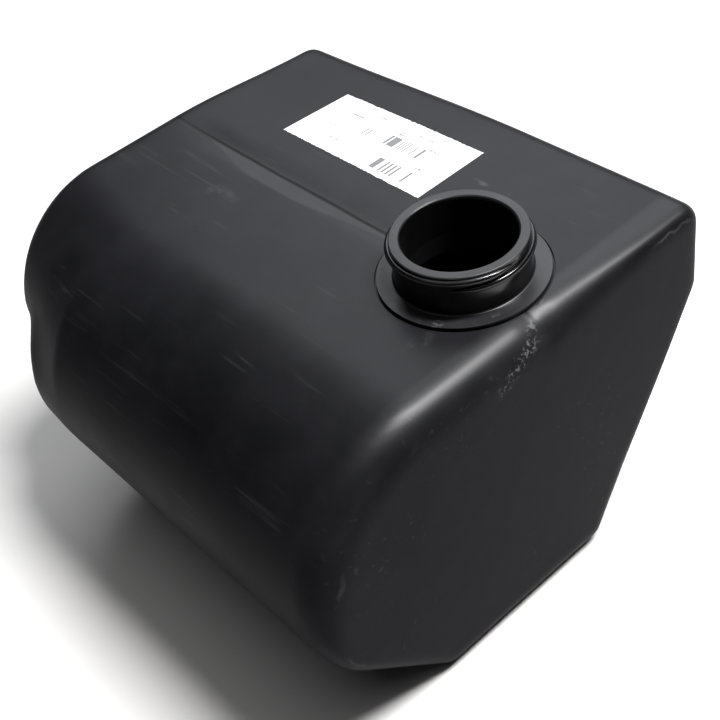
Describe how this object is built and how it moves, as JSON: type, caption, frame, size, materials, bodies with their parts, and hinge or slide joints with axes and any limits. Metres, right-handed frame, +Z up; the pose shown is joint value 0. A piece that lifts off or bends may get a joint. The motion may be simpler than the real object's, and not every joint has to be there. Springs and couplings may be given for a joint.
{
  "type": "hydraulic reservoir",
  "caption": "Black moulded plastic hydraulic oil tank with a round front, sloping underside, open threaded filler neck, printed label, hose ports, strainer and drain plug.",
  "frame": {"origin": "on the flat base, straight below the filler neck's axis", "axes": "+Z up along the filler neck, +X towards the end wall beside the neck, +Y towards the back wall"},
  "size_m": [0.3715, 0.3416, 0.2549],
  "materials": {
    "tank_plastic": "satin black moulded polyethylene with faint scuffs",
    "neck_plastic": "glossy black moulded polyethylene",
    "label_paper": "white printed adhesive label",
    "insert_brass": "machined brass",
    "strainer_steel": "bright pressed steel",
    "mesh_steel": "woven stainless wire",
    "spring_steel": "drawn spring wire",
    "collar_aluminium": "turned aluminium",
    "plug_steel": "zinc-plated steel",
    "magnet_metal": "sintered magnet",
    "washer_copper": "soft copper",
    "seal_rubber": "nitrile rubber",
    "lens_clear": "clear polished sight glass",
    "reflector_white": "white painted aluminium"
  },
  "bodies": {
    "tank": {"tank_top_wall": "tank_plastic", "tank_base": "tank_plastic", "tank_front_wall": "tank_plastic", "tank_back_wall": "tank_plastic", "tank_near_end_wall": "tank_plastic", "tank_port_wall": "tank_plastic", "tank_far_end": "tank_plastic", "filler_neck": "neck_plastic", "parts_label": "label_paper", "suction_port_insert": "insert_brass", "return_port_insert": "insert_brass", "case_drain_port_insert": "insert_brass", "drain_port_insert": "insert_brass", "level_sight_insert": "insert_brass", "mounting_inserts": "insert_brass", "strainer_collar": "collar_aluminium", "strainer_support_tube": "strainer_steel", "strainer_mesh_sleeve": "mesh_steel", "strainer_end_cap": "strainer_steel", "bypass_spring_cage": "strainer_steel", "bypass_spring": "spring_steel", "diffuser_nipple": "collar_aluminium", "diffuser_tube": "strainer_steel", "diffuser_end_cap": "strainer_steel", "level_sight_seal": "seal_rubber", "level_sight_body": "collar_aluminium", "level_sight_lens": "lens_clear", "level_sight_reflector": "reflector_white"},
    "bypass_valve": {"bypass_poppet": "strainer_steel"},
    "plug_washer": {"drain_plug_washer": "washer_copper"},
    "plug": {"drain_plug": "plug_steel", "drain_plug_magnet": "magnet_metal"}
  },
  "joints": [
    {"name": "bypass_lift", "type": "slide", "parent": "tank", "child": "bypass_valve", "axis": [-1, 0, 0], "range_m": [0, 0.006], "stiffness_N_per_m": 900, "springref_m": -0.004, "deforming": ["bypass_spring"]},
    {"name": "washer_drop", "type": "slide", "parent": "tank", "child": "plug_washer", "axis": [0, 0, -1], "range_m": [0, 0.01633]},
    {"name": "plug_turn", "type": "hinge", "parent": "plug_washer", "child": "plug", "pos_m": [-0.04, -0.039, 0.012], "axis": [0, 0, -1], "range_deg": [0, 3240]}
  ],
  "couplings": [
    {"joint": "washer_drop", "follows": "plug_turn", "m_per_rad": 0.00028871}
  ]
}
